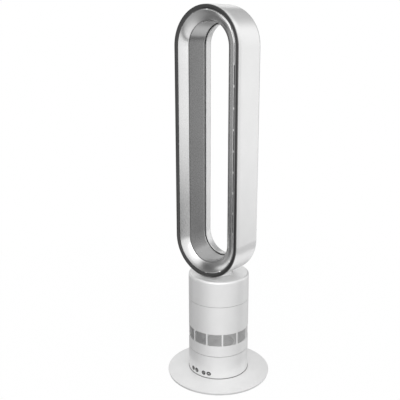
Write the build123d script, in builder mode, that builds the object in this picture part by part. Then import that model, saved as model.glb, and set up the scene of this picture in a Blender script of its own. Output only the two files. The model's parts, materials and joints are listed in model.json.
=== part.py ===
from build123d import *
import math
import os

os.makedirs("parts", exist_ok=True)

# Bladeless tower fan. Millimetres, +Z up, the loop faces -Y, the feet stand on z = 0 and the
# axis of the round housings is the Z axis.

# ---- Driving dimensions -------------------------------------------------------------------

housing_radius = 75.0
housing_wall = 2.6
housing_bore = housing_radius - housing_wall
housing_seam = 0.9               # shadow gap between the two housings of the tower
moving_gap = 0.3                 # gap between faces that move past each other
running_gap = 0.06               # radial gap of the tower's journal
pilot_gap = 0.1                  # radial gap round a screw in the boss it is driven into
screw_gap = 0.3                  # radial gap round a screw in the piece it clamps

plate_radius = 129.0
plate_top = 13.8
foot_height = 1.6
base_top = 73.2
tower_bottom = 74.4
intake_top = 204.9
upper_bottom = intake_top + housing_seam
tower_top = 270.0
shoulder_radius = 5.0

loop_centre = 590.3
loop_half_straight = 226.6
loop_low = loop_centre - loop_half_straight
loop_high = loop_centre + loop_half_straight
loop_radius = 91.8
loop_front = -54.1
loop_rear = 37.0
lip_radius = 49.0
lip_depth = 13.0

window_count = 12
window_low = 103.0
window_high = 133.5
post_width = 4.0

button_height = 26.0
button_radius = 5.5
button_angles = [-19.0, -8.5, 8.5, 19.0]
button_names = ["power_button", "timer_button", "swing_button", "speed_button"]

gear_module = 1.25
ring_teeth = 72
pinion_teeth = 16
pressure_angle = math.radians(20)
ring_pitch_radius = gear_module * ring_teeth / 2
pinion_pitch_radius = gear_module * pinion_teeth / 2
pinion_offset = ring_pitch_radius - pinion_pitch_radius

blade_count = 9
vane_count = 11


# ---- Helpers ------------------------------------------------------------------------------

def save(builder, label):
    """Label a finished piece and write it as one STEP file."""
    builder.part.label = label
    export_step(builder.part, f"parts/{label}.step")


def ring_places(radius, count, height, first_angle):
    """Points evenly spaced on a level circle."""
    step = 360 / count
    angles = [math.radians(first_angle + step * index) for index in range(count)]
    return [(radius * math.cos(angle), radius * math.sin(angle), height) for angle in angles]


def pan_head_screws(seats, shank_radius, shank_length, head_up=True):
    """Screws along Z. Each seat is the point where the underside of a head bears."""
    head_radius = 1.9 * shank_radius
    head_height = 1.1 * shank_radius
    head_side = Align.MIN if head_up else Align.MAX
    shank_side = Align.MAX if head_up else Align.MIN
    with BuildPart() as screws:
        with Locations(*seats):
            Cylinder(head_radius, head_height, align=(Align.CENTER, Align.CENTER, head_side))
            Cylinder(shank_radius, shank_length, align=(Align.CENTER, Align.CENTER, shank_side))
    return screws


def bend_radius(run, rise):
    """Radius of the circle that leaves its start upright and moves out by run while it climbs by rise."""
    return (run ** 2 + rise ** 2) / (2 * run)


def flow_radius(height, start_radius, start_height, bend):
    """Radius of a flow surface that leaves its start upright and bends outwards on a circle."""
    rise = height - start_height
    return start_radius + bend - math.sqrt(bend ** 2 - rise ** 2)


def twisted_blade(heights, roots, tips, total_twist, thickness):
    """One blade, lofted through level sections that turn about the axis as they climb."""
    with BuildPart() as blade:
        for index, (height, root, tip) in enumerate(zip(heights, roots, tips)):
            turn = total_twist * index / (len(heights) - 1)
            with BuildSketch(Plane(origin=(0, 0, height)).rotated((0, 0, turn))):
                with Locations(((root + tip) / 2, 0)):
                    Rectangle(tip - root, thickness)
        loft(ruled=True)
    return blade.part


def half_tooth_angle(radius, teeth, backlash):
    """Half the angle that an involute tooth fills at this radius."""
    pitch_radius = gear_module * teeth / 2
    base_radius = pitch_radius * math.cos(pressure_angle)
    local_angle = math.acos(min(1.0, base_radius / radius))
    involute_gain = math.tan(pressure_angle) - pressure_angle
    involute_loss = math.tan(local_angle) - local_angle
    return math.pi / (2 * teeth) + involute_gain - involute_loss - backlash / (2 * pitch_radius)


def tooth_outline(centre_angle, root_radius, tip_radius, teeth, backlash):
    """Points up one flank of a tooth and down the other."""
    steps = 3
    radii = [root_radius + (tip_radius - root_radius) * step / steps for step in range(steps + 1)]
    halves = [half_tooth_angle(radius, teeth, backlash) for radius in radii]
    rising = [(radius, centre_angle - half) for radius, half in zip(radii, halves)]
    falling = [(radius, centre_angle + half) for radius, half in zip(radii[::-1], halves[::-1])]
    return [(radius * math.cos(angle), radius * math.sin(angle)) for radius, angle in rising + falling]


# ---- Base plate: cover, ballast, feet and screws -------------------------------------------

cover_wall = 2.4
cover_underside = plate_top - cover_wall
cover_opening = 30.0
cover_flat_radius = 78.0
cover_hollow_radius = 77.0
dome_middle = (103.0, 11.2)
rim_top = (127.8, 7.3)
rim_side = (plate_radius, 6.0)
rim_bend = 1.4
skirt_outer = 127.4
skirt_inner = 125.4
skirt_bottom = 0.8

weight_radius = 123.4
weight_gap = 0.5
weight_step = 4.6
weight_core_radius = 90.0
weight_top = 8.6

pillar_place = 67.8
pillar_angle = 45.0
pillar_count = 4
boss_radius = 6.0
base_screw_radius = 2.0
base_screw_length = 24.0
screw_recess_radius = 5.0
screw_recess_top = 3.8

foot_place = 104.0
foot_count = 6
foot_radius = 9.0
foot_taper = 8.0

with BuildPart() as base_cover:
    with BuildSketch(Plane.XZ):
        with BuildLine():
            Polyline((cover_opening, cover_underside), (cover_opening, plate_top),
                     (cover_flat_radius, plate_top))
            ThreePointArc((cover_flat_radius, plate_top), dome_middle, rim_top)
            RadiusArc(rim_top, rim_side, rim_bend)
            Polyline(rim_side, (skirt_outer, skirt_bottom), (skirt_inner, skirt_bottom),
                     (weight_radius + weight_gap, weight_step), (cover_hollow_radius, cover_underside),
                     (cover_opening, cover_underside))
        make_face()
    revolve(axis=Axis.Z)
    with Locations(*ring_places(pillar_place, pillar_count, weight_top, pillar_angle)):
        Cylinder(boss_radius, cover_underside - weight_top, align=(Align.CENTER, Align.CENTER, Align.MIN))
    with Locations(*ring_places(pillar_place, pillar_count, plate_top, pillar_angle)):
        Hole(base_screw_radius + screw_gap, plate_top)
save(base_cover, "base_cover")

with BuildPart() as base_weight:
    with BuildSketch(Plane.XY.offset(foot_height)):
        Circle(weight_radius)
    extrude(amount=weight_step - foot_height)
    with BuildSketch(Plane.XY.offset(weight_step)):
        Circle(weight_core_radius)
    extrude(amount=weight_top - weight_step)
    with Locations(*ring_places(pillar_place, pillar_count, foot_height, pillar_angle)):
        Cylinder(screw_recess_radius, 2 * (screw_recess_top - foot_height), mode=Mode.SUBTRACT)
        Cylinder(base_screw_radius + screw_gap, 2 * weight_top, mode=Mode.SUBTRACT)
save(base_weight, "base_weight")

with BuildPart() as rubber_feet:
    with BuildSketch(Plane.XY):
        with PolarLocations(foot_place, foot_count):
            Circle(foot_radius)
    extrude(amount=foot_height, taper=foot_taper)
save(rubber_feet, "rubber_feet")

base_screws = pan_head_screws(
    ring_places(pillar_place, pillar_count, screw_recess_top, pillar_angle),
    base_screw_radius, base_screw_length, head_up=False)
save(base_screws, "base_screws")

# ---- Base housing and cord inlet -----------------------------------------------------------

foot_groove_depth = 1.0
foot_groove_height = 0.8
floor_top = 16.8
deck_bottom = 66.0
deck_top = 70.0
pillar_radius = 5.0
pilot_depth = 16.0
deck_screw_radius = 1.5
deck_pilot_depth = 12.0

board_front = -58.6
board_thickness = 1.6
board_back = board_front + board_thickness
board_high = 40.0
rail_place = 32.0
rail_size = 4.0

supply_bottom = 20.6
supply_holes = [(x, y) for x in (-31, 31) for y in (-29, 33)]
board_screw_radius = 1.3
standoff_radius = 3.5

button_gap = 0.3
button_places = [housing_radius * math.sin(math.radians(angle)) for angle in button_angles]
button_centres = [(place, button_height) for place in button_places]
wall_cut = 60.0                  # cuts through the wall start this far from the axis
wall_cut_depth = 20.0

gland_height = 25.0
gland_radius = 5.5
gland_bore = 3.6
gland_inner_end = 62.0
gland_outer_end = 77.0
gland_flange_radius = 7.5
gland_flange = 2.0
gland_flange_places = (70.0, 75.0)

with BuildPart() as base_housing:
    with BuildSketch(Plane.XY.offset(plate_top)):
        Circle(housing_radius)
        Circle(housing_bore, mode=Mode.SUBTRACT)
    extrude(amount=base_top - plate_top)
    # Shadow groove where the housing meets the plate.
    with BuildSketch(Plane.XY.offset(plate_top)):
        Circle(housing_radius)
        Circle(housing_radius - foot_groove_depth, mode=Mode.SUBTRACT)
    extrude(amount=foot_groove_height, mode=Mode.SUBTRACT)
    with BuildSketch(Plane.XY.offset(plate_top)):
        Circle(housing_bore)
    extrude(amount=floor_top - plate_top)
    with BuildSketch(Plane.XY.offset(floor_top)):
        with Locations(*ring_places(pillar_place, pillar_count, 0, pillar_angle)):
            Circle(pillar_radius)
    extrude(amount=deck_bottom - floor_top)
    with BuildSketch(Plane.XY.offset(floor_top)):
        with Locations(*supply_holes):
            Circle(standoff_radius)
            Circle(board_screw_radius + pilot_gap, mode=Mode.SUBTRACT)
    extrude(amount=supply_bottom - floor_top)
    # Two rails that the control board is bonded to.
    with BuildSketch(Plane.XY.offset(floor_top)):
        with Locations(*[(x, board_back + rail_size / 2) for x in (-rail_place, rail_place)]):
            Rectangle(rail_size, rail_size)
    extrude(amount=board_high - rail_size - floor_top)
    with Locations(*ring_places(pillar_place, pillar_count, plate_top, pillar_angle)):
        Cylinder(base_screw_radius + pilot_gap, 2 * pilot_depth, mode=Mode.SUBTRACT)
    with Locations(*ring_places(pillar_place, pillar_count, deck_bottom, pillar_angle)):
        Cylinder(deck_screw_radius + pilot_gap, 2 * deck_pilot_depth, mode=Mode.SUBTRACT)
    with BuildSketch(Plane.XZ.offset(wall_cut)):
        with Locations(*button_centres):
            Circle(button_radius + button_gap)
    extrude(amount=wall_cut_depth, mode=Mode.SUBTRACT)
    with BuildSketch(Plane.XZ.offset(-wall_cut)):
        with Locations((0, gland_height)):
            Circle(gland_radius)
    extrude(amount=-wall_cut_depth, mode=Mode.SUBTRACT)
save(base_housing, "base_housing")

with BuildPart() as cord_gland:
    with BuildSketch(Plane.XZ.offset(-gland_inner_end)):
        with Locations((0, gland_height)):
            Circle(gland_radius)
    extrude(amount=gland_inner_end - gland_outer_end)
    for flange_place in gland_flange_places:
        with BuildSketch(Plane.XZ.offset(-flange_place)):
            with Locations((0, gland_height)):
                Circle(gland_flange_radius)
        extrude(amount=-gland_flange)
    with BuildSketch(Plane.XZ.offset(-gland_inner_end)):
        with Locations((0, gland_height)):
            Circle(gland_bore)
    extrude(amount=gland_inner_end - gland_outer_end, mode=Mode.SUBTRACT)
save(cord_gland, "cord_gland")

# ---- Buttons and boards -------------------------------------------------------------------

flange_front = -65.2
flange_back = -64.0
flange_width = 0.9
cap_proud = 0.25
switch_depth = 3.5
switch_size = 6.0
switch_face = board_front - switch_depth
plunger_radius = 1.7
plunger_length = 0.8

board_half_width = 34.0
connector_height = 30.0
connector_width = 12.0
connector_depth = 2.0
connector_rise = 8.0

supply_half_width = 36.0
supply_front = -34.0
supply_rear = 38.0
supply_top = supply_bottom + board_thickness
transformer_place = (-14, 14)
transformer_width = 26.0
transformer_depth = 22.0
transformer_rise = 18.0
capacitor_places = [(14, 20), (14, 4)]
capacitor_radius = 6.0
capacitor_rise = 16.0
relay_place = (-14, -14)
relay_width = 20.0
relay_depth = 10.0
heatsink_place = (14, -16)
heatsink_width = 24.0
heatsink_depth = 3.0
low_block_rise = 12.0
board_screw_length = 5.0

# Each cap follows the curve of the housing, and its flange stops it behind the wall.
for label, centre in zip(button_names, button_centres):
    with BuildPart() as button:
        with BuildSketch(Plane.XZ.offset(-flange_front)):
            with Locations(centre):
                Circle(button_radius)
        extrude(amount=wall_cut_depth)
        Cylinder(housing_radius + cap_proud, 4 * button_height, mode=Mode.INTERSECT)
        with BuildSketch(Plane.XZ.offset(-flange_back)):
            with Locations(centre):
                Circle(button_radius + flange_width)
        extrude(amount=flange_back - flange_front)
    save(button, label)

with BuildPart() as control_board:
    with BuildSketch(Plane.XZ.offset(-board_back)):
        with Locations((0, (floor_top + board_high) / 2)):
            Rectangle(2 * board_half_width, board_high - floor_top)
    extrude(amount=board_thickness)
    with BuildSketch(Plane.XZ.offset(-board_back)):
        with Locations((0, connector_height)):
            Rectangle(connector_width, connector_rise)
    extrude(amount=-connector_depth)
save(control_board, "control_board")

with BuildPart() as tact_switches:
    with BuildSketch(Plane.XZ.offset(-board_front)):
        with Locations(*button_centres):
            Rectangle(switch_size, switch_size)
    extrude(amount=switch_depth)
    with BuildSketch(Plane.XZ.offset(-switch_face)):
        with Locations(*button_centres):
            Circle(plunger_radius)
    extrude(amount=plunger_length)
save(tact_switches, "tact_switches")

with BuildPart() as power_board:
    with BuildSketch(Plane.XY.offset(supply_bottom)):
        with Locations((0, (supply_front + supply_rear) / 2)):
            Rectangle(2 * supply_half_width, supply_rear - supply_front)
        with Locations(*supply_holes):
            Circle(board_screw_radius + screw_gap, mode=Mode.SUBTRACT)
    extrude(amount=board_thickness)
    with BuildSketch(Plane.XY.offset(supply_top)):
        with Locations(transformer_place):
            Rectangle(transformer_width, transformer_depth)
    extrude(amount=transformer_rise)
    with BuildSketch(Plane.XY.offset(supply_top)):
        with Locations(*capacitor_places):
            Circle(capacitor_radius)
    extrude(amount=capacitor_rise)
    with BuildSketch(Plane.XY.offset(supply_top)):
        with Locations(relay_place):
            Rectangle(relay_width, relay_depth)
        with Locations(heatsink_place):
            Rectangle(heatsink_width, heatsink_depth)
    extrude(amount=low_block_rise)
save(power_board, "power_board")

board_screws = pan_head_screws(
    [(x, y, supply_top) for x, y in supply_holes], board_screw_radius, board_screw_length)
save(board_screws, "board_screws")

# ---- Bearing deck and swing drive ---------------------------------------------------------

deck_radius = 72.1
deck_screw_length = 14.0
journal_radius = 21.0
journal_bottom = 60.0
collar_bottom = journal_bottom + moving_gap
collar_wall = 4.0
rib_count = 6
rib_place = 42.0
rib_length = 38.0
rib_width = 2.0
rib_drop = 4.0
rib_first_angle = 120.0
race_inner = 50.0
race_outer = 58.0
race_top = tower_bottom - moving_gap
race_chamfer = 0.8

motor_centre = pinion_offset + 8.0
swing_motor_radius = 14.0
swing_motor_drop = 19.0
motor_bay_length = 50.0
motor_bay_margin = 3.0
ear_length = 42.0
ear_width = 7.0
ear_thickness = 1.0
motor_screw_place = 17.5
motor_screw_radius = 1.6
motor_screw_length = 4.9
motor_screw_points = [(-motor_screw_place, motor_centre), (motor_screw_place, motor_centre)]
pilot_ring_radius = 4.5
pilot_ring_rise = 1.6
pilot_ring_gap = 0.3
shaft_gap = 0.05
pinion_shaft_radius = 2.5
pinion_shaft_length = 15.0
shaft_bore_depth = 13.0
gear_bottom = 70.6
gear_side_gap = 0.4
pinion_backlash = 0.16
tooth_rise = 0.9 * gear_module
tooth_drop = 1.25 * gear_module

with BuildPart() as bearing_deck:
    with BuildSketch(Plane.XY.offset(deck_bottom)):
        Circle(deck_radius)
    extrude(amount=deck_top - deck_bottom)
    with BuildSketch(Plane.XY.offset(collar_bottom)):
        Circle(journal_radius + collar_wall)
    extrude(amount=deck_bottom - collar_bottom)
    with BuildSketch(Plane.XY.offset(deck_bottom - rib_drop)):
        with PolarLocations(rib_place, rib_count, start_angle=rib_first_angle):
            Rectangle(rib_length, rib_width)
    extrude(amount=rib_drop)
    # The bay that clears the swing motor, below the deck only.
    with BuildSketch(Plane.XY.offset(deck_bottom - rib_drop)):
        with Locations((0, motor_centre)):
            SlotOverall(motor_bay_length, 2 * (swing_motor_radius + motor_bay_margin))
    extrude(amount=rib_drop, mode=Mode.SUBTRACT)
    with BuildSketch(Plane.XY.offset(collar_bottom)):
        Circle(journal_radius + running_gap)
    extrude(amount=deck_top - collar_bottom, mode=Mode.SUBTRACT)
    with Locations(*ring_places(pillar_place, pillar_count, deck_top, pillar_angle)):
        Hole(deck_screw_radius + screw_gap, deck_top - deck_bottom)
    with Locations((0, pinion_offset, deck_top)):
        Hole(pilot_ring_radius + pilot_ring_gap, deck_top - deck_bottom)
    with Locations(*[(x, y, deck_top) for x, y in motor_screw_points]):
        Hole(motor_screw_radius + pilot_gap, deck_top - deck_bottom)
save(bearing_deck, "bearing_deck")

deck_screws = pan_head_screws(
    ring_places(pillar_place, pillar_count, deck_top, pillar_angle), deck_screw_radius, deck_screw_length)
save(deck_screws, "deck_screws")

with BuildPart() as swivel_race:
    with BuildSketch(Plane.XY.offset(deck_top)):
        Circle(race_outer)
        Circle(race_inner, mode=Mode.SUBTRACT)
    extrude(amount=race_top - deck_top)
    chamfer(swivel_race.edges().group_by(Axis.Z)[-1], length=race_chamfer)
save(swivel_race, "swivel_race")

with BuildPart() as swing_motor:
    with BuildSketch(Plane.XY.offset(deck_bottom)):
        with Locations((0, motor_centre)):
            Circle(swing_motor_radius)
    extrude(amount=-swing_motor_drop)
    with BuildSketch(Plane.XY.offset(deck_bottom)):
        with Locations((0, motor_centre)):
            SlotOverall(ear_length, ear_width)
        with Locations(*motor_screw_points):
            Circle(motor_screw_radius + screw_gap, mode=Mode.SUBTRACT)
    extrude(amount=-ear_thickness)
    with BuildSketch(Plane.XY.offset(deck_bottom)):
        with Locations((0, pinion_offset)):
            Circle(pilot_ring_radius)
    extrude(amount=pilot_ring_rise)
    with Locations((0, pinion_offset, deck_bottom + pilot_ring_rise)):
        Hole(pinion_shaft_radius + shaft_gap, shaft_bore_depth)
save(swing_motor, "swing_motor")

swing_motor_screws = pan_head_screws(
    [(x, y, deck_bottom - ear_thickness) for x, y in motor_screw_points],
    motor_screw_radius, motor_screw_length, head_up=False)
save(swing_motor_screws, "swing_motor_screws")

with BuildPart() as drive_pinion:
    pinion_outline = []
    for tooth in range(pinion_teeth):
        tooth_centre = math.radians(90 + 360 * tooth / pinion_teeth)
        pinion_outline += tooth_outline(
            tooth_centre, pinion_pitch_radius - tooth_drop, pinion_pitch_radius + tooth_rise,
            pinion_teeth, pinion_backlash)
    with BuildSketch(Plane.XY.offset(gear_bottom)):
        with Locations((0, pinion_offset)):
            Polygon(*pinion_outline, align=None)
    extrude(amount=tower_bottom - gear_side_gap - gear_bottom)
    with BuildSketch(Plane.XY.offset(gear_bottom)):
        with Locations((0, pinion_offset)):
            Circle(pinion_shaft_radius)
    extrude(amount=-pinion_shaft_length)
save(drive_pinion, "drive_pinion")

# ---- Swivel of the tower ------------------------------------------------------------------

swivel_top = 78.4
cable_bore = 13.0
swivel_screw_place = 66.0
swivel_screw_count = 4
swivel_screw_radius = 1.5
swivel_screw_length = 8.5
swivel_recess_radius = 3.4
swivel_recess_depth = 2.0

flange_bottom = 57.0
retainer_radius = 28.0
retainer_chamfer = 1.0
retainer_screw_place = 17.0
retainer_screw_count = 3
retainer_screw_radius = 1.5
retainer_screw_length = 13.0
retainer_pilot_depth = 12.0

sector_half_teeth = 12
sector_radius = 49.2
sector_root_drop = 1.2 * gear_module
sector_space_gain = 0.02

with BuildPart() as swivel_plate:
    with BuildSketch(Plane.XY.offset(tower_bottom)):
        Circle(housing_bore)
    extrude(amount=swivel_top - tower_bottom)
    with BuildSketch(Plane.XY.offset(journal_bottom)):
        Circle(journal_radius)
    extrude(amount=tower_bottom - journal_bottom)
    with BuildSketch(Plane.XY.offset(journal_bottom)):
        Circle(cable_bore)
    extrude(amount=swivel_top - journal_bottom, mode=Mode.SUBTRACT)
    with Locations(*ring_places(swivel_screw_place, swivel_screw_count, swivel_top, 0)):
        Hole(swivel_screw_radius + screw_gap, swivel_top - tower_bottom)
    with Locations(*ring_places(swivel_screw_place, swivel_screw_count, tower_bottom, 0)):
        Cylinder(swivel_recess_radius, 2 * swivel_recess_depth, mode=Mode.SUBTRACT)
    with Locations(*ring_places(retainer_screw_place, retainer_screw_count, journal_bottom, 90)):
        Cylinder(retainer_screw_radius + pilot_gap, 2 * retainer_pilot_depth, mode=Mode.SUBTRACT)
save(swivel_plate, "swivel_plate")

swivel_screws = pan_head_screws(
    ring_places(swivel_screw_place, swivel_screw_count, tower_bottom + swivel_recess_depth, 0),
    swivel_screw_radius, swivel_screw_length, head_up=False)
save(swivel_screws, "swivel_screws")

# The ring gear is cut as a sector: only the teeth that meet the pinion over the swing, and a few more.
with BuildPart() as gear_sector:
    toothed_edge = []
    for space in range(-sector_half_teeth, sector_half_teeth + 1):
        space_centre = math.radians(90 + 360 * space / ring_teeth)
        toothed_edge += tooth_outline(
            space_centre, ring_pitch_radius - tooth_rise, ring_pitch_radius + sector_root_drop,
            ring_teeth, -sector_space_gain)
    end_angle = math.radians(90 - 360 * (sector_half_teeth + 0.5) / ring_teeth)
    tip_radius = ring_pitch_radius - tooth_rise
    tip_corner = (tip_radius * math.cos(end_angle), tip_radius * math.sin(end_angle))
    outer_corner = (sector_radius * math.cos(end_angle), sector_radius * math.sin(end_angle))
    far_tip_corner = (-tip_corner[0], tip_corner[1])
    far_outer_corner = (-outer_corner[0], outer_corner[1])
    with BuildSketch(Plane.XY.offset(gear_bottom)):
        with BuildLine():
            Polyline(outer_corner, tip_corner, *toothed_edge, far_tip_corner, far_outer_corner)
            ThreePointArc(far_outer_corner, (0, sector_radius), outer_corner)
        make_face()
    extrude(amount=tower_bottom - gear_bottom)
save(gear_sector, "gear_sector")

with BuildPart() as retainer_flange:
    with BuildSketch(Plane.XY.offset(flange_bottom)):
        Circle(retainer_radius)
        Circle(cable_bore, mode=Mode.SUBTRACT)
        with PolarLocations(retainer_screw_place, retainer_screw_count, start_angle=90):
            Circle(retainer_screw_radius + screw_gap, mode=Mode.SUBTRACT)
    extrude(amount=journal_bottom - flange_bottom)
    chamfer(retainer_flange.edges().filter_by(GeomType.CIRCLE).sort_by(SortBy.RADIUS)[-1],
            length=retainer_chamfer)
save(retainer_flange, "retainer_flange")

retainer_screws = pan_head_screws(
    ring_places(retainer_screw_place, retainer_screw_count, flange_bottom, 90),
    retainer_screw_radius, retainer_screw_length, head_up=False)
save(retainer_screws, "retainer_screws")

# ---- Intake housing and its mesh ----------------------------------------------------------

intake_floor_top = 81.4
intake_floor_opening = 40.0
swivel_boss_radius = 4.0
swivel_boss_rise = 6.0
ledge_bottom = 136.5
ledge_top = 139.5
ledge_inner = 64.0
mesh_low = 100.0
mesh_outer = 73.8
mesh_inner = 72.7
shroud_screw_place = 67.5
shroud_screw_count = 4
shroud_screw_angle = 45.0
shroud_screw_radius = 1.6
shroud_screw_length = 5.4
post_depth = 12.0
window_margin = 1.0

with BuildPart() as intake_housing:
    with BuildSketch(Plane.XY.offset(tower_bottom)):
        Circle(housing_radius)
        Circle(housing_bore, mode=Mode.SUBTRACT)
    extrude(amount=intake_top - tower_bottom)
    with BuildSketch(Plane.XY.offset(swivel_top)):
        Circle(housing_bore)
        Circle(intake_floor_opening, mode=Mode.SUBTRACT)
        with PolarLocations(swivel_screw_place, swivel_screw_count):
            Circle(swivel_screw_radius + pilot_gap, mode=Mode.SUBTRACT)
    extrude(amount=intake_floor_top - swivel_top)
    with BuildSketch(Plane.XY.offset(intake_floor_top)):
        with PolarLocations(swivel_screw_place, swivel_screw_count):
            Circle(swivel_boss_radius)
            Circle(swivel_screw_radius + pilot_gap, mode=Mode.SUBTRACT)
    extrude(amount=swivel_boss_rise)
    with BuildSketch(Plane.XY.offset(ledge_bottom)):
        Circle(housing_bore)
        Circle(ledge_inner, mode=Mode.SUBTRACT)
        with PolarLocations(shroud_screw_place, shroud_screw_count, start_angle=shroud_screw_angle):
            Circle(shroud_screw_radius + pilot_gap, mode=Mode.SUBTRACT)
    extrude(amount=ledge_top - ledge_bottom)
    # Shallow groove in the bore that the rolled mesh springs into.
    with BuildSketch(Plane.XY.offset(mesh_low)):
        Circle(mesh_outer)
    extrude(amount=ledge_bottom - mesh_low, mode=Mode.SUBTRACT)
    # Twelve windows right round, divided by slim posts, one window facing the front.
    with BuildSketch(Plane.XY.offset(window_low)):
        Circle(housing_radius + window_margin)
        Circle(housing_bore - window_margin, mode=Mode.SUBTRACT)
        with PolarLocations(housing_radius, window_count, start_angle=180 / window_count):
            Rectangle(post_depth, post_width, mode=Mode.SUBTRACT)
    extrude(amount=window_high - window_low, mode=Mode.SUBTRACT)
save(intake_housing, "intake_housing")

with BuildPart() as intake_mesh:
    with BuildSketch(Plane.XY.offset(mesh_low)):
        Circle(mesh_outer)
        Circle(mesh_inner, mode=Mode.SUBTRACT)
    extrude(amount=ledge_bottom - mesh_low)
save(intake_mesh, "intake_mesh")

# ---- Impeller and its shroud --------------------------------------------------------------

throat_radius = 43.0
throat_height = 148.5
shroud_top = 181.0
shroud_exit = 61.0
shroud_thickness = 2.0
shroud_bend = bend_radius(shroud_exit - throat_radius, shroud_top - throat_height)
shroud_rim_radius = 66.5
bell_radius = throat_height - ledge_top
tip_gap = 0.9

hub_start = 16.0
hub_low = 144.0
hub_rim = 44.0
hub_back = 180.0
hub_edge = 1.5
hub_bend = bend_radius(hub_rim - hub_start, hub_back - hub_low)
hub_middle = 168.0
nose_height = 150.0
hub_hollow = [(38.0, hub_back + hub_edge), (22.0, 172.0), (9.0, 170.0), (9.0, 181.0)]
blade_low = 150.0
blade_high = 178.0
blade_steps = 4
blade_twist = -55.0
blade_thickness = 1.8
blade_root_sink = 1.5

shaft_radius = 3.0
shaft_low = 145.0
shaft_high = 220.0
hub_fit = 0.02
nut_radius = 5.5
nut_height = 4.0

with BuildPart() as impeller_shroud:
    # Bellmouth, throat and flare, carried by a flat flange that seats on the housing's ledge.
    with BuildSketch(Plane.XZ):
        with BuildLine():
            mouth_radius = throat_radius + bell_radius
            bell_middle = bell_radius * math.sqrt(0.5)
            Line((housing_bore, ledge_top), (mouth_radius, ledge_top))
            ThreePointArc((mouth_radius, ledge_top),
                          (mouth_radius - bell_middle, throat_height - bell_middle),
                          (throat_radius, throat_height))
            TangentArc((throat_radius, throat_height), (shroud_exit, shroud_top), tangent=(0, 1))
            offset(amount=shroud_thickness, side=Side.RIGHT, kind=Kind.INTERSECTION)
        make_face()
    revolve(axis=Axis.Z)
    with BuildSketch(Plane.XY.offset(shroud_top - shroud_thickness)):
        Circle(shroud_rim_radius)
        Circle(shroud_exit, mode=Mode.SUBTRACT)
    extrude(amount=2 * shroud_thickness)
    shroud_screw_seats = ring_places(
        shroud_screw_place, shroud_screw_count, ledge_top + shroud_thickness, shroud_screw_angle)
    with Locations(*shroud_screw_seats):
        Hole(shroud_screw_radius + screw_gap, shroud_thickness)
save(impeller_shroud, "impeller_shroud")

shroud_screws = pan_head_screws(shroud_screw_seats, shroud_screw_radius, shroud_screw_length)
save(shroud_screws, "shroud_screws")

with BuildPart() as impeller:
    with BuildSketch(Plane.XZ):
        with BuildLine():
            nose_radius = flow_radius(nose_height, hub_start, hub_low, hub_bend)
            Line((0, nose_height), (nose_radius, nose_height))
            ThreePointArc((nose_radius, nose_height),
                          (flow_radius(hub_middle, hub_start, hub_low, hub_bend), hub_middle),
                          (hub_rim, hub_back))
            Polyline((hub_rim, hub_back), (hub_rim, hub_back + hub_edge), *hub_hollow,
                     (0, hub_hollow[-1][1]), (0, nose_height))
        make_face()
    revolve(axis=Axis.Z)
    # Mixed-flow blades: their roots follow the hub and their tips the shroud, as both bend outwards.
    blade_step = (blade_high - blade_low) / blade_steps
    blade_heights = [blade_low + blade_step * step for step in range(blade_steps + 1)]
    blade_roots = [flow_radius(height, hub_start, hub_low, hub_bend) - blade_root_sink
                   for height in blade_heights]
    blade_tips = [flow_radius(height, throat_radius - tip_gap, throat_height, shroud_bend + tip_gap)
                  for height in blade_heights]
    impeller_blade = twisted_blade(blade_heights, blade_roots, blade_tips, blade_twist, blade_thickness)
    with PolarLocations(0, blade_count):
        add(impeller_blade)
    with BuildSketch(Plane.XY.offset(shaft_low)):
        Circle(shaft_radius + hub_fit)
    extrude(amount=shaft_high - shaft_low, mode=Mode.SUBTRACT)
save(impeller, "impeller")

with BuildPart() as motor_shaft:
    with BuildSketch(Plane.XY.offset(shaft_low)):
        Circle(shaft_radius)
    extrude(amount=shaft_high - shaft_low)
save(motor_shaft, "motor_shaft")

with BuildPart() as hub_nut:
    with BuildSketch(Plane.XY.offset(nose_height - nut_height)):
        RegularPolygon(nut_radius, 6)
        Circle(shaft_radius + hub_fit, mode=Mode.SUBTRACT)
    extrude(amount=nut_height)
save(hub_nut, "hub_nut")

# ---- Stator, motor and bucket -------------------------------------------------------------

stator_low = shroud_top + shroud_thickness
stator_inner = 61.5
stator_outer = 64.0
stator_high = 224.0
bucket_radius = 42.0
bucket_bore = 39.5
bucket_low = 184.0
bucket_floor_top = 186.5
bucket_floor_opening = 8.0
bucket_high = 230.0
vane_high = 214.0
vane_steps = 3
vane_twist = 30.0
vane_thickness = 1.8
vane_sink = 1.0

motor_radius = 30.0
motor_low = 191.0
motor_high = 226.0
motor_round = 3.0
motor_boss_radius = 9.0
motor_boss_drop = 3.0
motor_end_wall = 2.0
isolator_outer = 26.0
isolator_inner = 18.0
cap_edge = 2.0
dome_rise = 18.0
dome_radius = bend_radius(dome_rise, bucket_radius)

with BuildPart() as stator:
    with BuildSketch(Plane.XY.offset(stator_low)):
        Circle(stator_outer)
        Circle(stator_inner, mode=Mode.SUBTRACT)
    extrude(amount=stator_high - stator_low)
    with BuildSketch(Plane.XY.offset(bucket_low)):
        Circle(bucket_radius)
        Circle(bucket_bore, mode=Mode.SUBTRACT)
    extrude(amount=bucket_high - bucket_low)
    with BuildSketch(Plane.XY.offset(bucket_low)):
        Circle(bucket_bore)
        Circle(bucket_floor_opening, mode=Mode.SUBTRACT)
    extrude(amount=bucket_floor_top - bucket_low)
    vane_step = (vane_high - bucket_low) / vane_steps
    vane_heights = [bucket_low + vane_step * step for step in range(vane_steps + 1)]
    vane_roots = [bucket_radius - vane_sink] * len(vane_heights)
    vane_tips = [stator_inner + vane_sink] * len(vane_heights)
    guide_vane = twisted_blade(vane_heights, vane_roots, vane_tips, vane_twist, vane_thickness)
    with PolarLocations(0, vane_count):
        add(guide_vane)
save(stator, "stator")

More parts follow.
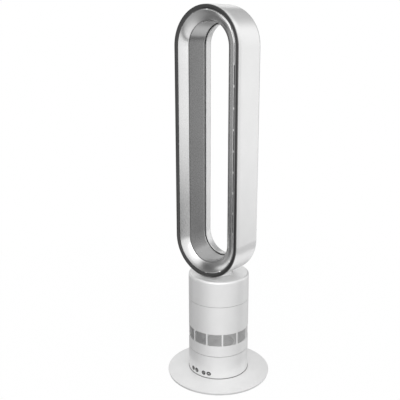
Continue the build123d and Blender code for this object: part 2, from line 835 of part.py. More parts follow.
with BuildPart() as fan_motor:
    with BuildSketch(Plane.XY.offset(motor_low)):
        Circle(motor_radius)
    extrude(amount=motor_high - motor_low)
    fillet(fan_motor.edges().group_by(Axis.Z)[-1], radius=motor_round)
    with BuildSketch(Plane.XY.offset(motor_low)):
        Circle(motor_boss_radius)
    extrude(amount=-motor_boss_drop)
    with BuildSketch(Plane.XY.offset(motor_low - motor_boss_drop)):
        Circle(shaft_radius + shaft_gap)
    extrude(amount=motor_high - motor_end_wall - motor_low + motor_boss_drop, mode=Mode.SUBTRACT)
save(fan_motor, "fan_motor")

with BuildPart() as motor_isolators:
    for ring_low, ring_high in ((bucket_floor_top, motor_low), (motor_high, bucket_high)):
        with BuildSketch(Plane.XY.offset(ring_low)):
            Circle(isolator_outer)
            Circle(isolator_inner, mode=Mode.SUBTRACT)
        extrude(amount=ring_high - ring_low)
save(motor_isolators, "motor_isolators")

with BuildPart() as bucket_cap:
    with Locations((0, 0, bucket_high + cap_edge + dome_rise - dome_radius)):
        Sphere(dome_radius)
    with BuildSketch(Plane.XY.offset(bucket_high)):
        Circle(bucket_radius)
    extrude(amount=cap_edge + dome_rise, mode=Mode.INTERSECT)
save(bucket_cap, "bucket_cap")

# ---- Upper housing, joint ring, air duct and neck seal -------------------------------------

top_wall = 3.0
top_underside = tower_top - top_wall
collar_inner = 34.4
collar_outer = 37.4
socket_low = 252.0
joint_half_height = 9.0
joint_wall = 2.6
duct_wall = 2.0
duct_skirt = 6.0
duct_collar = 8.0
duct_drop = 1.0
neck_radius = 33.4
neck_bore = 31.2
seal_low = 254.0
seal_height = 4.0

with BuildPart() as upper_housing:
    with BuildSketch(Plane.XZ):
        with BuildLine():
            FilletPolyline(
                (housing_radius, upper_bottom), (housing_radius, tower_top), (collar_inner, tower_top),
                (collar_inner, socket_low), (collar_outer, socket_low), (collar_outer, top_underside),
                (housing_bore, top_underside), (housing_bore, upper_bottom),
                radius=[shoulder_radius, 0, 0, 0, 0, shoulder_radius - housing_wall])
            Line((housing_bore, upper_bottom), (housing_radius, upper_bottom))
        make_face()
    revolve(axis=Axis.Z)
save(upper_housing, "upper_housing")

with BuildPart() as joint_ring:
    with BuildSketch(Plane.XY.offset(intake_top - joint_half_height)):
        Circle(housing_bore)
        Circle(housing_bore - joint_wall, mode=Mode.SUBTRACT)
    extrude(amount=2 * joint_half_height)
save(joint_ring, "joint_ring")

with BuildPart() as air_duct:
    with BuildSketch(Plane.XZ):
        with BuildLine():
            Polyline((stator_inner, stator_high), (stator_inner, stator_high + duct_skirt),
                     (collar_outer, socket_low - duct_drop), (collar_outer, socket_low + duct_collar))
            offset(amount=duct_wall, side=Side.RIGHT, kind=Kind.INTERSECTION)
        make_face()
    revolve(axis=Axis.Z)
save(air_duct, "air_duct")

with BuildPart() as neck_seal:
    with BuildSketch(Plane.XY.offset(seal_low)):
        Circle(collar_inner)
        Circle(neck_radius, mode=Mode.SUBTRACT)
    extrude(amount=seal_height)
save(neck_seal, "neck_seal")

# ---- Loop: casing with its neck ------------------------------------------------------------

trim_depth = 1.8
casing_front = loop_front + trim_depth
casing_wall = 2.2
casing_front_radius = 91.0
bulge_depth = 10.0
bulge_bend = 60.0
casing_seam = 0.05
rear_corner = 11.0
lip_corner = 7.0
rear_inner_radius = 52.6
rear_outer_radius = 90.8

neck_low = 245.0
neck_foot_radius = 35.4
neck_rise = 26.0
neck_taper = 8.0
neck_overlap = 4.0
bore_rise = 50.0
lug_count = 3
lug_first_angle = 30.0
lug_reach = 5.0
lug_width = 12.0
lug_height = 3.0
lug_lift = 1.0


def carry_round_loop(section):
    """Carry a section round the racetrack: two straight limbs joined by two half turns."""
    with BuildPart() as carried:
        extrude(section.moved(Location((0, 0, loop_low))), amount=loop_high - loop_low)
        mirror(about=Plane.YZ)
        for height, sense in ((loop_low, 1), (loop_high, -1)):
            revolve(section.moved(Location((0, 0, height))), axis=Axis((0, 0, height), (0, sense, 0)),
                    revolution_arc=180)
    return carried.part


# Corners of the casing's skin: faintly bulged outer wall, rounded rear, and the lip that turns back inside.
skin_corners = [(casing_front_radius, casing_front + casing_seam), (loop_radius, casing_front + bulge_depth),
                (rear_outer_radius, loop_rear), (rear_inner_radius, loop_rear), (lip_radius, lip_depth)]
skin_radii = [bulge_bend, rear_corner, lip_corner]
with BuildSketch() as casing_section:
    with BuildLine():
        FilletPolyline(skin_corners, radius=skin_radii)
        offset(amount=casing_wall, side=Side.LEFT, kind=Kind.INTERSECTION)
    make_face()

# The same skin closed across the front: all that the casing and its air space fill.
with BuildSketch() as casing_envelope:
    with BuildLine():
        FilletPolyline(skin_corners, radius=skin_radii)
        Polyline(skin_corners[-1], (lip_radius, casing_front), skin_corners[0])
    make_face()

with BuildPart() as loop_casing:
    # The neck stands under the bottom of the loop and its spigot enters the upper housing.
    with BuildSketch(Plane.XY.offset(tower_top + moving_gap)):
        Circle(neck_foot_radius)
    extrude(amount=neck_rise, taper=neck_taper)
    with BuildSketch(Plane.XY.offset(neck_low)):
        Circle(neck_radius)
    extrude(amount=tower_top + neck_overlap - neck_low)
    # Bayonet lugs that turn under the collar of the upper housing.
    with BuildSketch(Plane.XY.offset(neck_low + lug_lift)):
        with PolarLocations(neck_radius, lug_count, start_angle=lug_first_angle):
            Rectangle(lug_reach, lug_width)
    extrude(amount=lug_height)
    revolve(casing_envelope.sketch.moved(Location((0, 0, loop_low))),
            axis=Axis((0, 0, loop_low), (0, 1, 0)), revolution_arc=180, mode=Mode.SUBTRACT)
    add(carry_round_loop(casing_section.sketch))
    with BuildSketch(Plane.XY.offset(neck_low)):
        Circle(neck_bore)
    extrude(amount=bore_rise, mode=Mode.SUBTRACT)
save(loop_casing, "loop_casing")

# ---- Loop: trim ring and silver flare ------------------------------------------------------

seat_depth = loop_front + 3.2
trim_inner = 81.2
trim_inner_edge = (trim_inner, loop_front + 1.26)
trim_dome_middle = (86.0, loop_front + 0.35)
trim_dome_end = (90.1, loop_front + 0.22)
trim_corner = (casing_front_radius, loop_front + 1.1)
trim_corner_bend = 0.95
trim_step = 88.8

crest_radius = 79.2
crest_round = 0.6
crest_step = 0.4
flare_middle = (67.9, -50.0)
flare_rim = (57.9, -43.4)
flare_rim_back = (58.5, -41.2)
flare_rim_bend = 1.3
flare_underside = (69.0, -47.4)
flange_inner = 76.0
flange_outer = 88.6
flange_rear = seat_depth + 2.0

tab_pitch = 48.0
tab_count = 9
turn_tab_steps = 6
tab_length = 5.0
tab_depth = 1.8
tab_middle = (crest_radius + trim_inner) / 2 - 0.3
tab_width = trim_inner - crest_radius + 0.4
limb_heights = [loop_centre + tab_pitch * (index - (tab_count - 1) / 2) for index in range(tab_count)]

# Dark bezel on the front edge: a low dome that falls towards the flare, with a tight outer corner.
with BuildSketch() as trim_section:
    with BuildLine():
        Line((trim_inner, seat_depth), trim_inner_edge)
        ThreePointArc(trim_inner_edge, trim_dome_middle, trim_dome_end)
        RadiusArc(trim_dome_end, trim_corner, trim_corner_bend)
        Polyline(trim_corner, (casing_front_radius, casing_front), (trim_step, casing_front),
                 (trim_step, seat_depth), (trim_inner, seat_depth))
    make_face()

with BuildPart() as trim_ring:
    add(carry_round_loop(trim_section.sketch))
save(trim_ring, "trim_ring")

# Silver flare: crest beside the bezel, shallow funnel to a rounded inner rim, seat flange behind.
with BuildSketch() as flare_section:
    with BuildLine():
        Polyline((flange_outer, seat_depth), (crest_radius, seat_depth),
                 (crest_radius, loop_front + crest_step), (crest_radius - crest_round, loop_front))
        ThreePointArc((crest_radius - crest_round, loop_front), flare_middle, flare_rim)
        RadiusArc(flare_rim, flare_rim_back, flare_rim_bend)
        Polyline(flare_rim_back, flare_underside, (flange_inner, flange_rear),
                 (flange_outer, flange_rear), (flange_outer, seat_depth))
    make_face()

with BuildPart() as front_flare:
    add(carry_round_loop(flare_section.sketch))
    # Clip tabs that bridge the joint to the bezel, evenly spaced up both limbs and round both turns.
    with BuildSketch(Plane.XZ.offset(-seat_depth)):
        for side in (-1, 1):
            with Locations(*[(side * tab_middle, height) for height in limb_heights]):
                Rectangle(tab_width, tab_length)
        for height, start in ((loop_high, 0), (loop_low, 180)):
            with Locations((0, height)):
                for index in range(1, turn_tab_steps):
                    with PolarLocations(tab_middle, 1, start_angle=start + 180 * index / turn_tab_steps):
                        Rectangle(tab_width, tab_length)
    extrude(amount=tab_depth)
save(front_flare, "front_flare")

# ---- Loop: diffuser wall and mouth spacers -------------------------------------------------

# The wall runs from behind the flare back along the inside of the loop, past the lip of the casing,
# and its nose leaves the narrow air mouth between itself and that lip.
diffuser_thickness = 1.8
diffuser_seam = 0.2
diffuser_corners = [(flange_inner, flange_rear + diffuser_seam), (72.0, -45.0), (60.5, -40.4), (57.0, -39.6),
                    (52.0, 6.0), (52.9, 14.0), (56.0, 24.0)]
spacer_thickness = 2.0
spacer_corners = [(51.42, 14.0), (52.86, 14.0), (54.08, 18.0), (52.02, 18.0)]

with BuildSketch() as diffuser_section:
    with BuildLine():
        Polyline(diffuser_corners)
        offset(amount=diffuser_thickness, side=Side.RIGHT, kind=Kind.INTERSECTION)
    make_face()

with BuildPart() as inner_diffuser:
    add(carry_round_loop(diffuser_section.sketch))
save(inner_diffuser, "inner_diffuser")

limb_planes = [Plane(origin=(0, 0, height), x_dir=(side, 0, 0), z_dir=(0, 0, side))
               for side in (-1, 1) for height in limb_heights]
turn_angles = [math.pi * index / turn_tab_steps for index in range(1, turn_tab_steps)]
turn_planes = [Plane(origin=(0, 0, height), x_dir=(math.cos(angle), 0, way * math.sin(angle)),
                     z_dir=(-way * math.sin(angle), 0, math.cos(angle)))
               for height, way in ((loop_high, 1), (loop_low, -1)) for angle in turn_angles]

with BuildPart() as mouth_spacers:
    with BuildSketch(*limb_planes, *turn_planes):
        Polygon(*spacer_corners, align=None)
    extrude(amount=spacer_thickness / 2, both=True)
save(mouth_spacers, "mouth_spacers")
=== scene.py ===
import json
import math

import bmesh
import bpy
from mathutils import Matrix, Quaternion, Vector


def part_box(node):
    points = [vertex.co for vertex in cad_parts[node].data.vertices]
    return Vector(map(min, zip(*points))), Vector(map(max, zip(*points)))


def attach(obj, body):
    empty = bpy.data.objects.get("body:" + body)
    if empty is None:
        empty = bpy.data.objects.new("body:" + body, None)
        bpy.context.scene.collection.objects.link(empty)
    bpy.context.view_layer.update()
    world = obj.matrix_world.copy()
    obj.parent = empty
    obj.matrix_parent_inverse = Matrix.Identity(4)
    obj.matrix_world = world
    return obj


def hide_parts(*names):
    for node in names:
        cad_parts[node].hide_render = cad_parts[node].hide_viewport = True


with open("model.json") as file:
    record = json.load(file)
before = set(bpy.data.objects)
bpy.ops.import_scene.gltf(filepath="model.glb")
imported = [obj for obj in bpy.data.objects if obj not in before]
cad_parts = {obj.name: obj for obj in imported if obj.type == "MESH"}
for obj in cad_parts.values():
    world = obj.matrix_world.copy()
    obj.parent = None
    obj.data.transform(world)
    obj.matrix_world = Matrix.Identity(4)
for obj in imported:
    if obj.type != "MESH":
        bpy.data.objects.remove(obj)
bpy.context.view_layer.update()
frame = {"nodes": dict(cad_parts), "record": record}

# Bladeless tower fan. Metres, +Z up, the loop faces -Y, the feet stand on z = 0.

MM = 0.001

# ---- Camera: fitted to the outlines of the loop, the housings and the base plate -----------------

camera_place = Vector((0.9289, -1.2132, 0.8663))
camera_azimuth = math.radians(37.4)
camera_yaw = math.radians(-1.7713)
camera_pitch = math.radians(15.0965)
camera_roll = math.radians(-0.1636)
camera_lens = 58.8969
camera_sensor = 36.0


def make_camera():
    """The camera stands to the right of the front, a little above the loop's middle, and looks down."""
    data = bpy.data.cameras.new("camera")
    data.lens = camera_lens
    data.sensor_width = camera_sensor
    camera = bpy.data.objects.new("camera", data)
    bpy.context.scene.collection.objects.link(camera)
    heading = camera_azimuth - camera_yaw
    aim = Vector((-math.sin(heading) * math.cos(camera_pitch),
                  math.cos(heading) * math.cos(camera_pitch),
                  -math.sin(camera_pitch)))
    camera.location = camera_place
    level = aim.to_track_quat("-Z", "Y")
    camera.rotation_euler = (level @ Quaternion((0, 0, 1), camera_roll)).to_euler()
    bpy.context.scene.camera = camera


make_camera()
bpy.context.scene.view_settings.view_transform = "Standard"


# ---- Node helpers --------------------------------------------------------------------------------

wide_edges = (0.3, 0.7)
narrow_edges = (0.35, 0.65)


class Shader:
    """A material or world whose nodes are made by short calls."""

    def __init__(self, owner):
        owner.use_nodes = True
        self.tree = owner.node_tree
        self.tree.nodes.clear()

    def node(self, kind, inputs=None, **settings):
        made = self.tree.nodes.new(kind)
        for name, value in settings.items():
            setattr(made, name, value)
        for name, value in (inputs or {}).items():
            self.put(made, name, value)
        return made

    def put(self, node, name, value):
        """Set an input of a node, by a link where the value is another node's output."""
        if isinstance(value, bpy.types.NodeSocket):
            self.tree.links.new(value, node.inputs[name])
        else:
            node.inputs[name].default_value = value

    def math(self, operation, first, second):
        made = self.node("ShaderNodeMath", operation=operation)
        self.put(made, 0, first)
        self.put(made, 1, second)
        return made.outputs[0]

    def spread(self, value, low, high, to_low=0.0, to_high=1.0):
        """Map a value smoothly from one range to another, clamped at both ends."""
        made = self.node("ShaderNodeMapRange", interpolation_type="SMOOTHSTEP", inputs={
            "Value": value, "From Min": low, "From Max": high, "To Min": to_low, "To Max": to_high})
        return made.outputs["Result"]

    def vary(self, pattern, middle, share):
        """A value that swings with a pattern by a share of its middle to both sides."""
        return self.spread(pattern, *wide_edges, middle * (1 - share), middle * (1 + share))

    def blend(self, factor, first, second):
        """Mix two colours; the Mix node has them at sockets 6 and 7 and gives a colour at 2."""
        made = self.node("ShaderNodeMix", data_type="RGBA")
        for socket, value in ((0, factor), (6, first), (7, second)):
            self.put(made, socket, value)
        return made.outputs[2]

    def choose(self, factor, first, second):
        """Mix two numbers; the Mix node has them at sockets 2 and 3 and gives a number at 0."""
        made = self.node("ShaderNodeMix", data_type="FLOAT")
        for socket, value in ((0, factor), (2, first), (3, second)):
            self.put(made, socket, value)
        return made.outputs[0]

    def ramp(self, value, stops):
        """Greys at given positions, with an even change between neighbours."""
        made = self.node("ShaderNodeValToRGB", inputs={"Fac": value})
        elements = made.color_ramp.elements
        while len(elements) < len(stops):
            elements.new(0.5)
        for element, (position, tone) in zip(elements, stops):
            element.position = position
            element.color = grey(tone)
        return made.outputs["Color"]

    def object_place(self):
        """Coordinates that stay with the object."""
        return self.node("ShaderNodeTexCoord").outputs["Object"]

    def noise(self, place, scale, detail):
        """Noise from 0 to 1; the scale is in cells per metre."""
        made = self.node("ShaderNodeTexNoise", {"Vector": place, "Scale": scale, "Detail": detail})
        return made.outputs["Fac"]

    def bump(self, height, strength, depth):
        """A surface direction that follows a height pattern of a given depth."""
        made = self.node("ShaderNodeBump", {"Height": height, "Strength": strength, "Distance": depth})
        return made.outputs["Normal"]

    def finish(self, colour, roughness, others=None):
        """Close a material with its surface shader."""
        sockets = {"Base Color": colour, "Roughness": roughness, **(others or {})}
        bsdf = self.node("ShaderNodeBsdfPrincipled", sockets)
        self.node("ShaderNodeOutputMaterial", {"Surface": bsdf.outputs[0]})


def tinted(tone, tint):
    return tuple(tone * part for part in tint) + (1.0,)


def grey(tone):
    return tinted(tone, (1.0, 1.0, 1.0))


def new_material(name):
    material = bpy.data.materials.new(name)
    return material, Shader(material)


# ---- Stage: white floor, studio light and what shines in the metal -------------------------------

floor_radius = 1.2
floor_sides = 96
floor_tone = 0.42
floor_white_share = 0.95
key_direction = Vector((0.52, -0.62, 0.60))
key_strength = 0.95
key_softness = math.radians(65)
ambient_above = 0.80
ambient_below = 0.50
ambient_edges = (-0.4, 0.3)

# What shines in lacquer and plating: light and dark panels stand round the object in five tiers, from the
# ground up, and an even cap closes them. They light nothing.
# Each pair is a panel's azimuth, 0 in front, 90 to the right and -90 to the left, and its brightness.
ground_tier = [(-180, 0.95), (-165, 0.60), (-150, 0.42), (-110, 0.30), (-67, 0.16), (-30, 0.36), (13, 0.84),
               (61, 0.80), (112, 0.50), (140, 0.90), (160, 1.10), (180, 0.95)]
floor_tier = [(-180, 0.55), (-150, 0.60), (-110, 0.30), (-67, 0.16), (-50, 0.16), (-30, 0.36), (-8, 0.55),
              (13, 0.84), (37, 1.02), (61, 0.82), (85, 0.52), (112, 0.30), (130, 0.19), (142, 0.36),
              (160, 0.55), (180, 0.55)]
low_tier = [(-180, 0.80), (-140, 0.95), (-118, 0.95), (-104, 0.10), (-68, 0.08), (-64, 1.00), (-57, 1.00),
            (-53, 0.06), (-42, 0.06), (-30, 0.34), (-20, 0.34), (-10, 0.13), (40, 0.11), (70, 0.55),
            (85, 0.90), (108, 0.90), (120, 0.36), (129, 0.32), (138, 0.86), (160, 0.90), (180, 0.80)]
eye_tier = [(-180, 0.30), (-140, 0.30), (-115, 0.80), (-98, 0.80), (-85, 0.36), (-68, 0.26), (-64, 1.00),
            (-57, 1.00), (-53, 0.20), (-40, 0.24), (-18, 0.30), (-8, 0.97), (40, 0.97), (85, 1.0),
            (108, 1.0), (120, 0.42), (129, 0.38), (138, 1.1), (160, 1.1), (172, 0.45), (180, 0.30)]
high_tier = [(-180, 0.05), (-158, 0.06), (-149, 0.85), (-132, 0.90), (-115, 0.30), (-60, 0.20), (-45, 0.12),
             (-30, 0.14), (-18, 0.85), (-8, 1.10), (60, 1.10), (100, 0.80), (130, 0.50), (140, 1.15),
             (157, 1.15), (166, 0.30), (180, 0.05)]
tiers = [ground_tier, floor_tier, low_tier, eye_tier, high_tier]
# Upward slopes between which one tier passes into the next.
tier_edges = [(-0.56, -0.49), (-0.38, -0.31), (-0.28, -0.19), (0.0, 0.3)]
zenith_edge = (0.63, 0.74)
zenith_level = 1.0


def make_floor():
    """A round floor that is white to the camera, keeps a trace of shadow and lets gloss see the studio."""
    mesh = bpy.data.meshes.new("floor")
    shape = bmesh.new()
    bmesh.ops.create_circle(shape, cap_ends=True, radius=floor_radius, segments=floor_sides)
    shape.to_mesh(mesh)
    shape.free()
    floor = bpy.data.objects.new("floor", mesh)
    bpy.context.scene.collection.objects.link(floor)
    material, s = new_material("floor")
    path = s.node("ShaderNodeLightPath")
    tone = s.spread(path.outputs["Is Camera Ray"], 0.0, 1.0, floor_tone, 1.0)
    lit = s.node("ShaderNodeBsdfDiffuse", {"Color": tone})
    glow = s.node("ShaderNodeEmission", {"Color": grey(1.0), "Strength": 1.0})
    share = s.math("MULTIPLY", path.outputs["Is Camera Ray"], floor_white_share)
    mix = s.node("ShaderNodeMixShader", {0: share, 1: lit.outputs[0], 2: glow.outputs[0]})
    clear = s.node("ShaderNodeBsdfTransparent")
    seen = s.node("ShaderNodeMixShader", {
        0: path.outputs["Is Glossy Ray"], 1: mix.outputs[0], 2: clear.outputs[0]})
    s.node("ShaderNodeOutputMaterial", {"Surface": seen.outputs[0]})
    mesh.materials.append(material)


def make_key_light():
    """A broad soft light from the right front."""
    data = bpy.data.lights.new("key", "SUN")
    data.energy = key_strength
    data.angle = key_softness
    light = bpy.data.objects.new("key", data)
    light.rotation_euler = key_direction.to_track_quat("Z", "Y").to_euler()
    bpy.context.scene.collection.objects.link(light)


def make_world():
    """White behind the object, an even soft light, and a studio of light and dark panels for gloss."""
    world = bpy.data.worlds.new("studio")
    bpy.context.scene.world = world
    s = Shader(world)
    place = s.node("ShaderNodeTexCoord")
    parts = s.node("ShaderNodeSeparateXYZ", {"Vector": place.outputs["Generated"]})
    x, y, z = parts.outputs
    azimuth_share = s.math("DIVIDE", s.math("ARCTAN2", x, s.math("MULTIPLY", y, -1.0)), 2 * math.pi)
    turn = s.math("ADD", azimuth_share, 0.5)
    # Each ramp runs once round the object, from behind by the left, the front and the right.
    levels = [s.ramp(turn, [(azimuth / 360 + 0.5, level) for azimuth, level in tier]) for tier in tiers]
    shine = levels[0]
    for (low, high), level in zip(tier_edges, levels[1:]):
        shine = s.blend(s.spread(z, low, high), shine, level)
    shine = s.blend(s.spread(z, *zenith_edge), shine, grey(zenith_level))
    path = s.node("ShaderNodeLightPath")
    soft = s.spread(z, *ambient_edges, ambient_below, ambient_above)
    unseen = s.choose(path.outputs["Is Glossy Ray"], soft, shine)
    strength = s.choose(path.outputs["Is Camera Ray"], unseen, 1.0)
    background = s.node("ShaderNodeBackground", {"Color": grey(1.0), "Strength": strength})
    s.node("ShaderNodeOutputWorld", {"Surface": background.outputs[0]})


make_floor()
make_key_light()
make_world()


# ---- Materials -----------------------------------------------------------------------------------

rubber_roughness = 0.72
rubber_gloss = 0.35
bloom_edges = (0.4, 0.7)
board_roughness = 0.42
board_green = (0.02, 0.13, 0.05, 1.0)
trace_green = (0.05, 0.24, 0.10, 1.0)
trace_edges = (0.55, 0.62)
trace_scale = 260.0
flake_share = 0.42
coat_share = 0.3
coat_roughness = 0.08
streak_stretch = (1.0, 1.0, 0.12)


def moulded_plastic(name, tone, roughness, grain=0.25, tint=(1.0, 1.0, 1.0)):
    """Injection-moulded plastic: a faint cloudiness of colour and a fine, shallow mould texture."""
    material, s = new_material(name)
    place = s.object_place()
    cloud = s.noise(place, scale=35.0, detail=3.0)
    texture = s.noise(place, scale=2600.0, detail=2.0)
    dark = 0.975 * tone
    colour = s.blend(s.spread(cloud, *narrow_edges), tinted(dark, tint), tinted(tone, tint))
    s.finish(colour, s.vary(texture, roughness, share=0.1), {
        "Normal": s.bump(texture, strength=grain, depth=0.02 * MM)})
    return material


def pearl_lacquer(name, tone, roughness):
    """Silver-white lacquer: pigment and fine metal flake under a smooth clear coat."""
    material, s = new_material(name)
    place = s.object_place()
    cloud = s.noise(place, scale=25.0, detail=3.0)
    flake = s.noise(place, scale=5200.0, detail=2.0)
    dark = 0.98 * tone
    colour = s.blend(s.spread(cloud, *narrow_edges), grey(dark), grey(tone))
    s.finish(colour, s.vary(flake, roughness, share=0.15), {
        "Metallic": flake_share, "Coat Weight": coat_share, "Coat Roughness": coat_roughness,
        "Normal": s.bump(flake, strength=0.06, depth=0.01 * MM)})
    return material


def plated(name, tone, roughness):
    """Plated or silver-painted plastic: metallic, with very fine streaks along the loop's limbs."""
    material, s = new_material(name)
    place = s.object_place()
    stretched = s.node("ShaderNodeMapping", {"Vector": place, "Scale": streak_stretch}).outputs[0]
    streaks = s.noise(stretched, scale=2400.0, detail=3.0)
    cloud = s.noise(place, scale=12.0, detail=2.0)
    dark = 0.96 * tone
    colour = s.blend(s.spread(cloud, *wide_edges), grey(dark), grey(tone))
    s.finish(colour, s.vary(streaks, roughness, share=0.3), {
        "Metallic": 1.0, "Normal": s.bump(streaks, strength=0.05, depth=0.005 * MM)})
    return material


def turned_steel(name, tone, roughness):
    """Bare steel with fine turning marks."""
    material, s = new_material(name)
    marks = s.noise(s.object_place(), scale=1800.0, detail=5.0)
    dark = 0.9 * tone
    s.finish(s.blend(marks, grey(dark), grey(tone)), s.vary(marks, roughness, share=0.25), {
        "Metallic": 1.0, "Normal": s.bump(marks, strength=0.2, depth=0.02 * MM)})
    return material


def soft_rubber(name, tone):
    """Matt rubber with a faint bloom."""
    material, s = new_material(name)
    place = s.object_place()
    bloom = s.noise(place, scale=120.0, detail=4.0)
    pores = s.noise(place, scale=4000.0, detail=2.0)
    pale = 1.25 * tone + 0.01
    s.finish(s.blend(s.spread(bloom, *bloom_edges), grey(tone), grey(pale)), rubber_roughness, {
        "Specular IOR Level": rubber_gloss, "Normal": s.bump(pores, strength=0.3, depth=0.03 * MM)})
    return material


def board_laminate(name):
    """Green circuit board with paler traces."""
    material, s = new_material(name)
    cells = s.node("ShaderNodeTexVoronoi", {"Vector": s.object_place(), "Scale": trace_scale},
                   distance="MANHATTAN")
    traces = s.spread(cells.outputs["Distance"], *trace_edges)
    s.finish(s.blend(traces, board_green, trace_green), board_roughness)
    return material


# Each call gives a material's name, tone and roughness. The record's slots say which CAD node wears which.
materials = {
    "white_cover": moulded_plastic("white_cover", 0.81, 0.22, grain=0.15),
    "white_housing": pearl_lacquer("white_housing", 0.9, 0.38),
    "white_casing": pearl_lacquer("white_casing", 0.9, 0.24),
    "ballast_steel": turned_steel("ballast_steel", 0.12, 0.6),
    "rubber": soft_rubber("rubber", 0.02),
    # On the scene's foot ring and joint strip this near-black tone is painted shade.
    "seal_rubber": moulded_plastic("seal_rubber", 0.05, 0.3),
    "gland_rubber": soft_rubber("gland_rubber", 0.5),
    "screw_steel": turned_steel("screw_steel", 0.6, 0.3),
    "circuit_board": board_laminate("circuit_board"),
    "switch_plastic": moulded_plastic("switch_plastic", 0.02, 0.5),
    "inner_plastic": moulded_plastic("inner_plastic", 0.10, 0.5),
    "bearing_plastic": moulded_plastic("bearing_plastic", 0.72, 0.4, tint=(1.0, 0.98, 0.92)),
    "motor_steel": turned_steel("motor_steel", 0.5, 0.35),
    "button_plastic": moulded_plastic("button_plastic", 0.52, 0.35),
    "button_marks": moulded_plastic("button_marks", 0.012, 0.45),
    "mesh_metal": turned_steel("mesh_metal", 0.77, 0.5),
    "dark_chrome": plated("dark_chrome", 0.25, 0.14),
    "satin_nickel": plated("satin_nickel", 0.84, 0.2),
    "dark_nickel": plated("dark_nickel", 0.42, 0.24),
    "impeller_plastic": moulded_plastic("impeller_plastic", 0.035, 0.4),
    "shaft_steel": turned_steel("shaft_steel", 0.7, 0.2),
}

slot_of = {part["node"]: part["material_slot"] for part in frame["record"]["subparts"]}
for node_name, node in frame["nodes"].items():
    node.data.materials.clear()
    node.data.materials.append(materials[slot_of[node_name]])


# ---- Pieces that only the scene holds ------------------------------------------------------------

def finish_piece(name, shape, material, body):
    """Turn a finished bmesh into an object that moves with a body."""
    bmesh.ops.recalc_face_normals(shape, faces=shape.faces)
    mesh = bpy.data.meshes.new(name)
    shape.to_mesh(mesh)
    shape.free()
    mesh.materials.append(material)
    piece = bpy.data.objects.new(name, mesh)
    bpy.context.scene.collection.objects.link(piece)
    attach(piece, body)
    return piece


def skin(shape, rings, closed=False):
    """Faces from ring to ring of vertices; the last ring joins the first, or else both ends are capped."""
    count = len(rings[0])
    for ring, after in zip(rings, rings[1:] + rings[:1] if closed else rings[1:]):
        for edge in range(count):
            shape.faces.new((ring[edge], ring[(edge + 1) % count], after[(edge + 1) % count], after[edge]))
    if not closed:
        shape.faces.new(rings[0])
        shape.faces.new(rings[-1][::-1])


# ---- Perforated sheet behind the windows ---------------------------------------------------------

sheet_columns = 138
sheet_rows = 11
sheet_thickness = 0.6 * MM
sheet_inset = 0.2 * MM
weld_distance = 0.02 * MM
hole_share = 0.37
window_middle = 118.25 * MM
cell_sides = 6
hole_corners = 2 * cell_sides
cell_turns = [math.radians(90 + 360 / cell_sides * corner) for corner in range(cell_sides)]
hole_turns = [cell_turns[0] + 2 * math.pi * corner / hole_corners for corner in range(hole_corners)]


def circle_points(shape, across, height, radius, turns):
    """Vertices at given angles on a circle in the flat sheet."""
    return [shape.verts.new((across + radius * math.cos(turn), height + radius * math.sin(turn), 0))
            for turn in turns]


def honeycomb_cell(shape, across, height, cell_radius, hole_radius):
    """One flat six-sided cell with a round hole in it."""
    edge = circle_points(shape, across, height, cell_radius, cell_turns)
    rim = circle_points(shape, across, height, hole_radius, hole_turns)
    for side in range(cell_sides):
        inner = [rim[(2 * side + step) % hole_corners] for step in (2, 1, 0)]
        shape.faces.new([edge[side], edge[(side + 1) % cell_sides]] + inner)


def plain_band(shape, first_across, pitch, row_height, cell_radius, end_height):
    """The unpierced strip from the zigzag edge of the last row of cells to the end of the sheet."""
    sense = 1 if end_height > row_height else -1
    for step in range(2 * sheet_columns):
        reaches = (1.0, 0.5) if step % 2 == 0 else (0.5, 1.0)
        places = [first_across + pitch * step / 2, first_across + pitch * (step + 1) / 2]
        zigzag = [(place, row_height + sense * reach * cell_radius) for place, reach in zip(places, reaches)]
        outline = zigzag + [(places[1], end_height), (places[0], end_height)]
        shape.faces.new([shape.verts.new((across, height, 0)) for across, height in outline[::sense]])


def perforated_sheet():
    """The sheet is laid out flat, rolled into a ring and given its thickness."""
    low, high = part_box("intake_mesh")
    radius = high.x - sheet_inset
    pitch = 2 * math.pi * radius / sheet_columns
    cell_radius = pitch / math.sqrt(3)
    row_pitch = 1.5 * cell_radius
    rows = [window_middle + row_pitch * (row - (sheet_rows - 1) / 2) for row in range(sheet_rows)]
    shifts = [0.5 * pitch * (row % 2) for row in range(sheet_rows)]
    shape = bmesh.new()
    for height, shift in zip(rows, shifts):
        for column in range(sheet_columns):
            honeycomb_cell(shape, pitch * column + shift, height, cell_radius, hole_share * pitch)
    plain_band(shape, shifts[0], pitch, rows[0], cell_radius, low.z)
    plain_band(shape, shifts[-1], pitch, rows[-1], cell_radius, high.z)
    for vertex in shape.verts:
        turn, height = vertex.co.x / radius, vertex.co.y
        vertex.co = (radius * math.cos(turn), radius * math.sin(turn), height)
    bmesh.ops.remove_doubles(shape, verts=shape.verts, dist=weld_distance)
    bmesh.ops.recalc_face_normals(shape, faces=shape.faces)
    bmesh.ops.solidify(shape, geom=shape.faces[:], thickness=sheet_thickness)
    sheet = finish_piece("mesh_sheet", shape, materials["mesh_metal"], "tower")
    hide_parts("intake_mesh")


# ---- Raised marks on the buttons -----------------------------------------------------------------

mark_width = 2.6 * MM
mark_proud = 0.12 * MM
mark_depth = 0.1 * MM
arc_steps = 20


def arc_path(radius, first, last):
    """Points on an arc; angles in degrees, 0 to the right and 90 up."""
    angles = [math.radians(first + (last - first) * step / arc_steps) for step in range(arc_steps + 1)]
    return [(radius * math.cos(angle), radius * math.sin(angle)) for angle in angles]


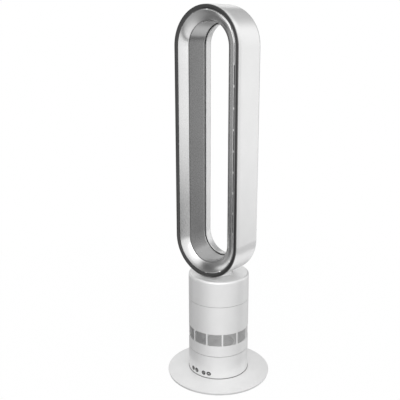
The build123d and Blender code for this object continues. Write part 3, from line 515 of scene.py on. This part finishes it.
def stroke(shape, path, centre, cap_radius):
    """A raised line that follows the curve of a button's cap."""
    rings = []
    for index, (across, up) in enumerate(path):
        before, after = path[max(index - 1, 0)], path[min(index + 1, len(path) - 1)]
        along = Vector((after[0] - before[0], after[1] - before[1])).normalized()
        ring = []
        for side, level in ((1, mark_proud), (-1, mark_proud), (-1, -mark_depth), (1, -mark_depth)):
            x = centre.x + across - side * along.y * mark_width / 2
            z = centre.z + up + side * along.x * mark_width / 2
            ring.append(shape.verts.new((x, -math.sqrt((cap_radius + level) ** 2 - x ** 2), z)))
        rings.append(ring)
    skin(shape, rings)


def button_mark(button, paths):
    """All the strokes of one button's mark, riding on that button."""
    low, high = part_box(button)
    cap_radius = max(math.hypot(vertex.co.x, vertex.co.y) for vertex in frame["nodes"][button].data.vertices)
    shape = bmesh.new()
    for path in paths:
        stroke(shape, [(across * MM, up * MM) for across, up in path], (low + high) / 2, cap_radius)
    finish_piece(button + "_mark", shape, materials["button_marks"], button)


# Millimetres from the middle of each button's cap.
mark_paths = {
    "power_button": [arc_path(4.0, 120, 420), [(0, -2.4), (0, 5.2)]],
    "timer_button": [arc_path(4.0, 0, 360), [(0, 3.0), (0, -0.6)]],
    "swing_button": [arc_path(4.0, 20, 340), [(3.7, -1.4), (0.6, -0.6), (-1.2, 0.8)]],
    "speed_button": [arc_path(4.0, -30, 210), [(-2.2, -3.6), (0, -1.0)], [(0, -1.0), (2.2, -3.6)]],
}


# ---- Painted shade: a near-black ring in the joint between the base housing and its plate --------

shade_ring_gap = 0.05 * MM
shade_ring_lip = 0.6 * MM
shade_ring_lip_height = 1.2 * MM
shade_ring_taper = 0.2 * MM
shade_ring_root = 0.9 * MM
shade_ring_root_height = 0.7 * MM
shade_ring_sides = 192


def foot_shade_ring():
    """Painted shade round the housing's foot: a near-black ring, its root in the joint, its lip a line
    outside.
    """
    housing_low, housing_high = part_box("base_housing")
    wall = housing_high.x + shade_ring_gap
    bottom = housing_low.z + shade_ring_gap
    section = [(wall - shade_ring_root, bottom), (wall + shade_ring_lip, bottom),
               (wall + shade_ring_lip, bottom + shade_ring_lip_height - shade_ring_taper),
               (wall + shade_ring_lip - shade_ring_taper, bottom + shade_ring_lip_height), (wall, bottom + shade_ring_lip_height),
               (wall, bottom + shade_ring_root_height), (wall - shade_ring_root, bottom + shade_ring_root_height)]
    shape = bmesh.new()
    rings = []
    for side in range(shade_ring_sides):
        turn = 2 * math.pi * side / shade_ring_sides
        rings.append([shape.verts.new((radius * math.cos(turn), radius * math.sin(turn), height))
                      for radius, height in section])
    skin(shape, rings, closed=True)
    # The ring's near-black tone paints the shade in the joint at the housing's foot.
    finish_piece("foot_shade_ring", shape, materials["seal_rubber"], "base")


# ---- Painted shade: near-black strips in the joint between the flare and the trim ----------------

strip_inner = 79.3 * MM
strip_outer = 81.1 * MM
strip_front = -52.6 * MM
strip_shoulder = -52.45 * MM
strip_back = -51.0 * MM
loop_middle = 590.3 * MM
tab_pitch = 48.0 * MM
tab_reach = 4
tab_half_gap = 2.8 * MM


def strip_section(side):
    """The strip's outline in width and depth on one limb: a flat back and a slightly ridged front."""
    middle = (strip_inner + strip_outer) / 2
    return [(side * strip_inner, strip_shoulder), (side * middle, strip_front),
            (side * strip_outer, strip_shoulder), (side * strip_outer, strip_back),
            (side * strip_inner, strip_back)]


def joint_shade_strip():
    """A near-black strip paints the groove's shade along each limb and stops at each of the flare's clip
    tabs.
    """
    shape = bmesh.new()
    for side in (-1, 1):
        for step in range(-tab_reach, tab_reach):
            ends = (loop_middle + tab_pitch * step + tab_half_gap,
                    loop_middle + tab_pitch * (step + 1) - tab_half_gap)
            skin(shape, [[shape.verts.new((across, depth, height)) for across, depth in strip_section(side)]
                         for height in ends])
    # The strip's near-black tone paints the shadow in the groove between the flare and the trim.
    finish_piece("joint_shade_strip", shape, materials["seal_rubber"], "tower")


perforated_sheet()
joint_shade_strip()
foot_shade_ring()
for button_name, paths in mark_paths.items():
    button_mark(button_name, paths)
